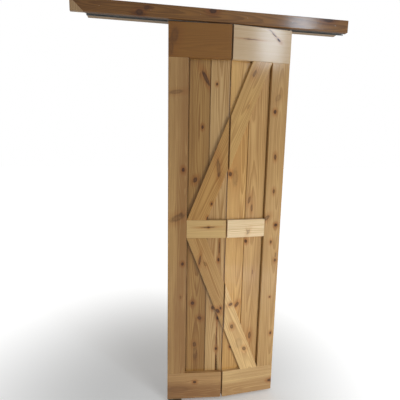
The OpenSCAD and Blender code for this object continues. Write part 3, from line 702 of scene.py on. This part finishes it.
def moulded_material(name, colour, shade, roughness):
    """Moulded plastic or rubber, with a fine stipple."""
    material, tree, shader = new_material(name)
    place = add_node(tree, "TexCoord").outputs["Object"]
    clouds = noise(tree, place, (60, 60, 60), 2.0, 3).outputs[0]
    stipple = noise(tree, place, (1500, 1500, 1500), 3.0, 2).outputs[0]
    tree.links.new(mix_colour(tree, clouds, (*colour, 1), (*shade, 1)), shader.inputs["Base Color"])
    tree.links.new(calc(tree, "MULTIPLY_ADD", stipple, 0.2, roughness), shader.inputs["Roughness"])
    bump = add_node(tree, "Bump", {"Strength": 0.3, "Distance": 0.0002, "Height": stipple})
    tree.links.new(bump.outputs[0], shader.inputs["Normal"])
    return material


nylon = moulded_material("nylon", (0.84, 0.82, 0.75), (0.76, 0.73, 0.65), 0.35)
for node in ("top_pivot_bushing", "bottom_pivot_bushing", "guide_bushing", "guide_wheel"):
    dress(node, nylon)
dress("bumper", moulded_material("rubber", (0.035, 0.035, 0.035), (0.05, 0.048, 0.045), 0.6))


# ---- Hinges and floor bracket ----
# Three butt hinges join the leaves at the back of the seam. They and the floor bracket are
# pressed steel with a satin finish, brushed along their height.

satin = metal_material("satin steel", (0.6, 0.59, 0.57), (0.44, 0.43, 0.42), 0.26, 60, (30, 30, 1))
dress("floor_bracket", satin)
for place in ("upper", "middle", "lower"):
    for part in ("left_plate", "right_plate", "pin"):
        dress(f"{place}_hinge_{part}", satin)
for node in ("left_hinge_screws", "right_hinge_screws"):
    dress(node, zinc)


# ---- Room ----
# A plain pale floor in an evenly lit white room. A window, high at the right, makes the shine
# on the top of the right leaf, and three soft lights fill in. The camera stands close.

bpy.ops.mesh.primitive_plane_add(size=40, location=(0, 0, 0))
floor = bpy.context.object
floor.name = "floor"
paint, tree, shader = new_material("floor paint")
shader.inputs["Base Color"].default_value = (0.9, 0.9, 0.89, 1)
shader.inputs["Roughness"].default_value = 0.7
shader.inputs["Emission Color"].default_value = (1, 1, 1, 1)
far = add_node(tree, "VectorMath", {0: add_node(tree, "TexCoord").outputs["Object"]},
               operation="LENGTH").outputs["Value"]
far = fade(tree, far, 0.3, 1.8)
seen = add_node(tree, "LightPath").outputs["Is Camera Ray"]
glow = calc(tree, "MULTIPLY", calc(tree, "MULTIPLY_ADD", far, 0.6, 0.1), seen)
tree.links.new(glow, shader.inputs["Emission Strength"])
floor.data.materials.append(paint)

world = bpy.data.worlds.new("room")
bpy.context.scene.world = world
world.use_nodes = True
tree = world.node_tree
seen = add_node(tree, "LightPath").outputs["Is Camera Ray"]
ambient = 0.38
strength = calc(tree, "MULTIPLY_ADD", seen, 1 - ambient, ambient)
tree.links.new(strength, tree.nodes["Background"].inputs["Strength"])
tree.nodes["Background"].inputs["Color"].default_value = (1, 1, 1, 1)


def add_light(name, place, target, width, height, power, colour=(1, 1, 1)):
    """A rectangular light at a place, which faces a target."""
    bpy.ops.object.light_add(type="AREA", location=place)
    light = bpy.context.object
    light.name = name
    light.data.shape = "RECTANGLE"
    light.data.size, light.data.size_y = width, height
    light.data.energy = power
    light.data.color = colour
    light.rotation_euler = (Vector(target) - Vector(place)).to_track_quat("-Z", "Y").to_euler()
    return light


add_light("window", (1.42, -1.7, 2.56), (0.48, 0, 1.96), 0.22, 0.5, 4.8, (0.75, 0.88, 1))
add_light("ceiling light", (1.3, -1.7, 3.2), (0.3, 0, 1), 1.2, 0.6, 4)
fill = add_light("low fill", (1.3, -1.9, 0.5), (0.2, 0, 0.5), 0.9, 0.9, 20)
fill.visible_glossy = False
add_light("side light", (2.4, -0.45, 1.0), (0.3, 0, 1.0), 0.4, 1.8, 5)

camera_place = (-0.126, -1.6513, 1.4401)
yaw, pitch, roll = math.radians(9.26), math.radians(-9.353), math.radians(1.0845)
bpy.ops.object.camera_add()
camera = bpy.context.object
camera.data.sensor_width = 36
camera.data.lens = 29.0
camera.matrix_world = (
    Matrix.Translation(camera_place) @ Matrix.Rotation(-yaw, 4, "Z")
    @ Matrix.Rotation(math.pi / 2 + pitch, 4, "X") @ Matrix.Rotation(roll, 4, "Z"))
bpy.context.scene.camera = camera
bpy.context.scene.view_settings.view_transform = "Standard"
